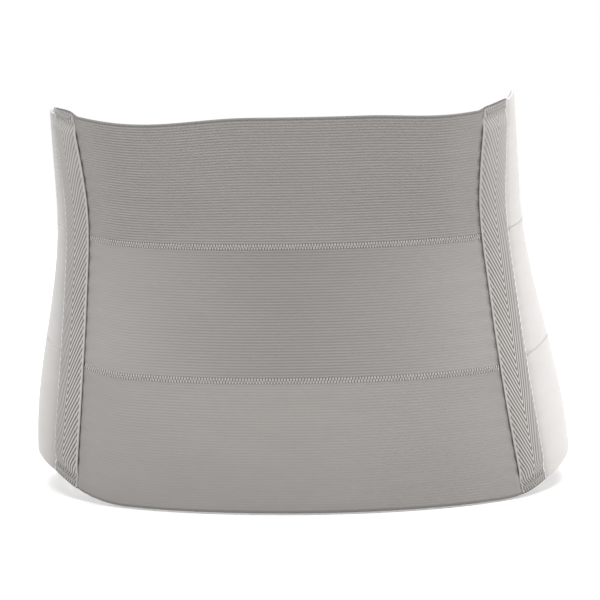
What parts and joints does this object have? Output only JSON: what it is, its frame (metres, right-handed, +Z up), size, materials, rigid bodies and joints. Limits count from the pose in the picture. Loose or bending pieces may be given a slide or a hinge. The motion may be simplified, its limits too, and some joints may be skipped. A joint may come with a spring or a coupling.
{
  "type": "lumbar support belt",
  "caption": "Wrap-round elastic lumbar support belt, closed, with stacked ribbed bands, stays sewn into casing tapes and a hook-and-loop front closure.",
  "frame": {"origin": "middle of the footprint of the closed belt, on the plane it stands on", "axes": "+Z up along the wearer's spine, the back panel faces -Y, the closure is at +Y, +X is the wearer's right"},
  "size_m": [0.339, 0.2472, 0.2458],
  "materials": {
    "back_elastic": "ribbed woven elastic, matt warm grey",
    "side_elastic": "finely ribbed woven elastic, matt pale grey",
    "thread": "pale polyester sewing thread, slight sheen",
    "twill_tape": "herringbone twill tape, matt warm grey",
    "casing_lining": "plain woven tape, matt grey",
    "velour": "brushed laminated fabric, pale grey",
    "loop": "brushed loop pile, grey",
    "hook": "moulded hook tape, grey",
    "stay_steel": "flat spring-steel stay",
    "end_cap": "dipped plastic end cap"
  },
  "bodies": {
    "back_panel": {"back_lower_band": "back_elastic", "back_lower_seam": "thread", "back_middle_band": "back_elastic", "back_upper_band": "back_elastic", "back_upper_seam": "thread", "left_bottom_bar_tack": "thread", "left_casing_lining": "casing_lining", "left_casing_tape": "twill_tape", "left_stay": "stay_steel", "left_stay_bottom_cap": "end_cap", "left_stay_top_cap": "end_cap", "left_top_bar_tack": "thread", "right_bottom_bar_tack": "thread", "right_casing_lining": "casing_lining", "right_casing_tape": "twill_tape", "right_stay": "stay_steel", "right_stay_bottom_cap": "end_cap", "right_stay_top_cap": "end_cap", "right_top_bar_tack": "thread"},
    "right_side": {"right_side_lower_band": "side_elastic", "right_side_lower_seam": "thread", "right_side_middle_band": "side_elastic", "right_side_upper_band": "side_elastic", "right_side_upper_seam": "thread"},
    "left_side": {"left_side_lower_band": "side_elastic", "left_side_lower_seam": "thread", "left_side_middle_band": "side_elastic", "left_side_upper_band": "side_elastic", "left_side_upper_seam": "thread"},
    "right_front": {"right_front_panel": "velour", "right_join_tape": "twill_tape"},
    "left_front": {"left_end_binding": "twill_tape", "left_front_panel": "velour", "left_join_tape": "twill_tape", "left_loop_pad": "loop"},
    "closure_tab": {"closure_binding": "twill_tape", "closure_hook_pad": "hook", "closure_tab_base": "velour"}
  },
  "joints": [
    {"name": "right_side_swing", "type": "hinge", "parent": "back_panel", "child": "right_side", "pos_m": [0.15509, -0.05171, 0], "axis": [0.0981, -0.1071, -0.9894], "range_deg": [0, 80]},
    {"name": "left_side_swing", "type": "hinge", "parent": "back_panel", "child": "left_side", "pos_m": [-0.15509, -0.05171, 0], "axis": [0.0091, 0.1076, 0.9942], "range_deg": [0, 80]},
    {"name": "right_front_swing", "type": "hinge", "parent": "right_side", "child": "right_front", "pos_m": [0.10745, 0.09619, 0], "axis": [0.0417, 0.0861, -0.9954], "range_deg": [0, 60]},
    {"name": "left_front_swing", "type": "hinge", "parent": "left_side", "child": "left_front", "pos_m": [-0.10745, 0.09619, 0], "axis": [-0.0479, -0.0861, 0.9951], "range_deg": [0, 60]},
    {"name": "closure_tab_peel", "type": "hinge", "parent": "right_front", "child": "closure_tab", "pos_m": [-0.03217, 0.12256, 0.022], "axis": [0.046, 0.0663, -0.9967], "range_deg": [0, 110]}
  ],
  "couplings": [
    {"joint": "left_side_swing", "follows": "right_side_swing", "ratio": 1},
    {"joint": "right_front_swing", "follows": "right_side_swing", "ratio": 0.75},
    {"joint": "left_front_swing", "follows": "right_side_swing", "ratio": 0.75}
  ]
}
